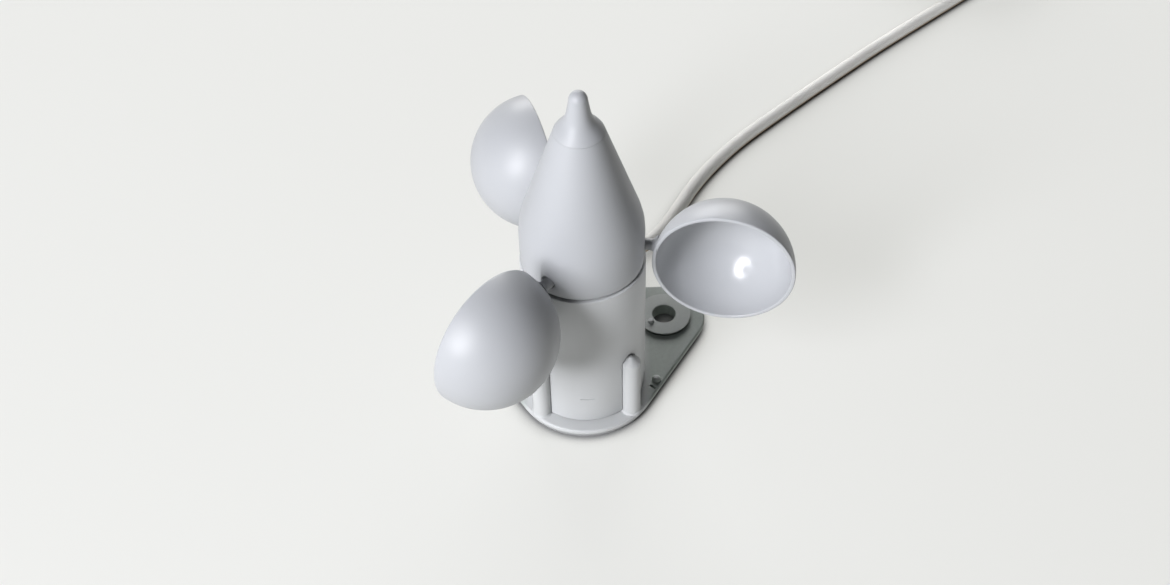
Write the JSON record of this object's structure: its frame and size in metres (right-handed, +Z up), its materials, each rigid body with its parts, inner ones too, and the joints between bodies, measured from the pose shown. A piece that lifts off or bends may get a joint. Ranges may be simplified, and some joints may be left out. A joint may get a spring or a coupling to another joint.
{
  "type": "cup anemometer",
  "caption": "Small cup anemometer: tapered rotor with hemispherical cups on ball bearings, tubular housing on a lugged base plate, reed-switch pick-up and a free signal cable.",
  "frame": {"origin": "where the rotor's axis meets the underside of the base plate, which is the surface the instrument stands on", "axes": "+Z up along the rotor's axis, +Y towards the cable outlet and the two screw lugs, +X to the right seen from the front"},
  "size_m": [0.2543, 0.3514, 0.1313],
  "materials": {
    "housing_plastic": "moulded, fine grain, light grey",
    "cup_plastic": "moulded, semi-gloss, light grey",
    "base_plastic": "moulded, satin, light grey",
    "steel": "stainless, turned",
    "cage_brass": "pressed",
    "ferrite": "sintered, dark",
    "nylon": "natural",
    "grey_rubber": "moulded, matt",
    "laminate": "solder mask",
    "reed_glass": "clear green",
    "terminal_plastic": "moulded",
    "cable_jacket": "extruded, satin",
    "core_brown": "extruded",
    "core_white": "extruded",
    "tinned_copper": "tinned"
  },
  "bodies": {
    "stand": {"housing": "housing_plastic", "base_plate": "base_plastic", "base_screw_1": "steel", "base_screw_2": "steel", "base_screw_3": "steel", "board_screw_1": "steel", "board_screw_2": "steel", "terminal_screw_1": "steel", "terminal_screw_2": "steel", "lower_bearing_outer_ring": "steel", "upper_bearing_outer_ring": "steel", "outer_spacer": "steel", "retaining_ring": "steel", "inner_cable_tie": "nylon", "coil_tie": "nylon", "base_seal": "grey_rubber", "cable_grommet": "grey_rubber", "circuit_board": "laminate", "reed_switch": "reed_glass", "terminal_block": "terminal_plastic", "cable_lead": "cable_jacket", "cable_coil": "cable_jacket", "cable_tail": "cable_jacket", "inner_wire_brown": "core_brown", "cable_core_brown": "core_brown", "inner_wire_white": "core_white", "cable_core_white": "core_white", "cable_ferrule_brown": "tinned_copper", "cable_ferrule_white": "tinned_copper"},
    "rotor": {"rotor_shell": "housing_plastic", "nose_cap": "housing_plastic", "cup_1": "cup_plastic", "cup_2": "cup_plastic", "cup_3": "cup_plastic", "cup_set_screw_1": "steel", "cup_set_screw_2": "steel", "cup_set_screw_3": "steel", "shaft": "steel", "shaft_nut": "steel", "shaft_washer": "steel", "shaft_clip": "steel", "lower_bearing_inner_ring": "steel", "upper_bearing_inner_ring": "steel", "inner_spacer": "steel", "magnet_holder": "nylon", "holder_screw": "steel", "magnet": "ferrite"},
    "lower_balls": {"lower_bearing_balls": "cage_brass"},
    "upper_balls": {"upper_bearing_balls": "cage_brass"}
  },
  "joints": [
    {"name": "rotor_spin", "type": "hinge", "parent": "stand", "child": "rotor", "pos_m": [0, 0, 0.0683], "axis": [0, 0, 1], "continuous": true},
    {"name": "lower_cage_spin", "type": "hinge", "parent": "stand", "child": "lower_balls", "pos_m": [0, 0, 0.0683], "axis": [0, 0, 1], "continuous": true},
    {"name": "upper_cage_spin", "type": "hinge", "parent": "stand", "child": "upper_balls", "pos_m": [0, 0, 0.0943], "axis": [0, 0, 1], "continuous": true}
  ],
  "couplings": [
    {"joint": "lower_cage_spin", "follows": "rotor_spin", "ratio": 0.379},
    {"joint": "upper_cage_spin", "follows": "rotor_spin", "ratio": 0.379}
  ]
}
